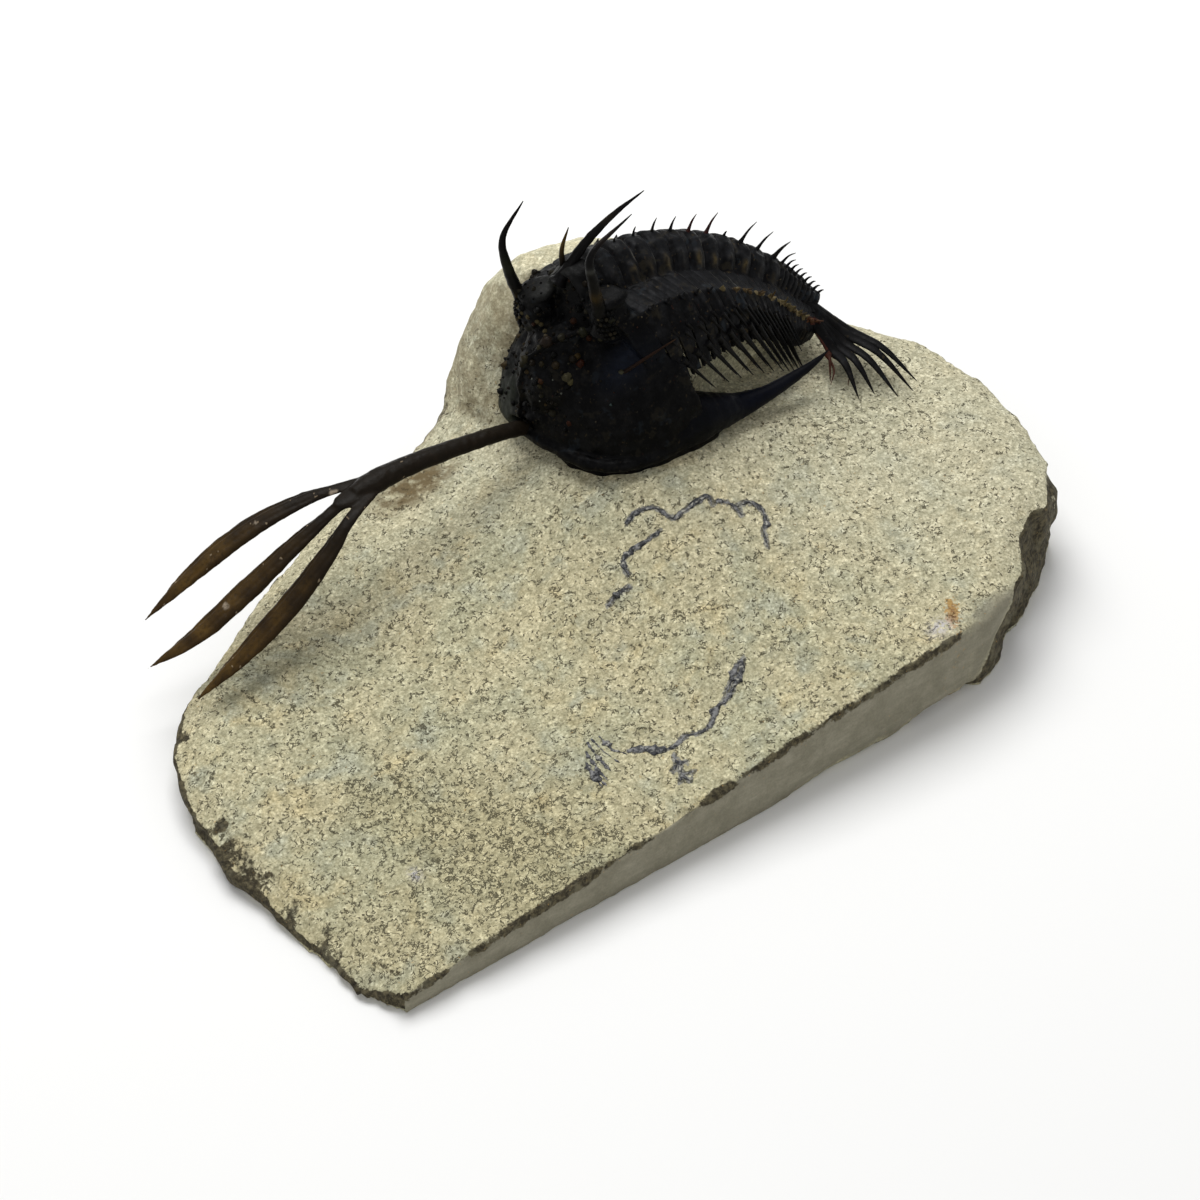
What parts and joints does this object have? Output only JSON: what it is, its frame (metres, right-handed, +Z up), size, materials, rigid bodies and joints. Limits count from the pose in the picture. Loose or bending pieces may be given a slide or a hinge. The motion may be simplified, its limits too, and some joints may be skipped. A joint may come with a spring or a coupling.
{
  "type": "fossil walliserops trilobite",
  "caption": "Spiny arched trilobite fossil with a three-pronged head fork, freed from and resting on a block of pale limestone.",
  "frame": {"origin": "on the sawn flat underside of the stone, below the front of the animal's head", "axes": "+X along the sawn front face, from the fork towards the tail; +Y from the sawn face to the back; +Z up"},
  "size_m": [0.1238, 0.0813, 0.0534],
  "materials": {
    "limestone": "rough pale limestone, matt",
    "shell": "black calcite shell, satin"
  },
  "bodies": {
    "root": {"matrix": "limestone", "cephalon": "shell", "thorax_segment_01": "shell", "thorax_segment_02": "shell", "thorax_segment_03": "shell", "thorax_segment_04": "shell", "thorax_segment_05": "shell", "thorax_segment_06": "shell", "thorax_segment_07": "shell", "thorax_segment_08": "shell", "thorax_segment_09": "shell", "thorax_segment_10": "shell", "thorax_segment_11": "shell", "pygidium": "shell"}
  },
  "joints": []
}
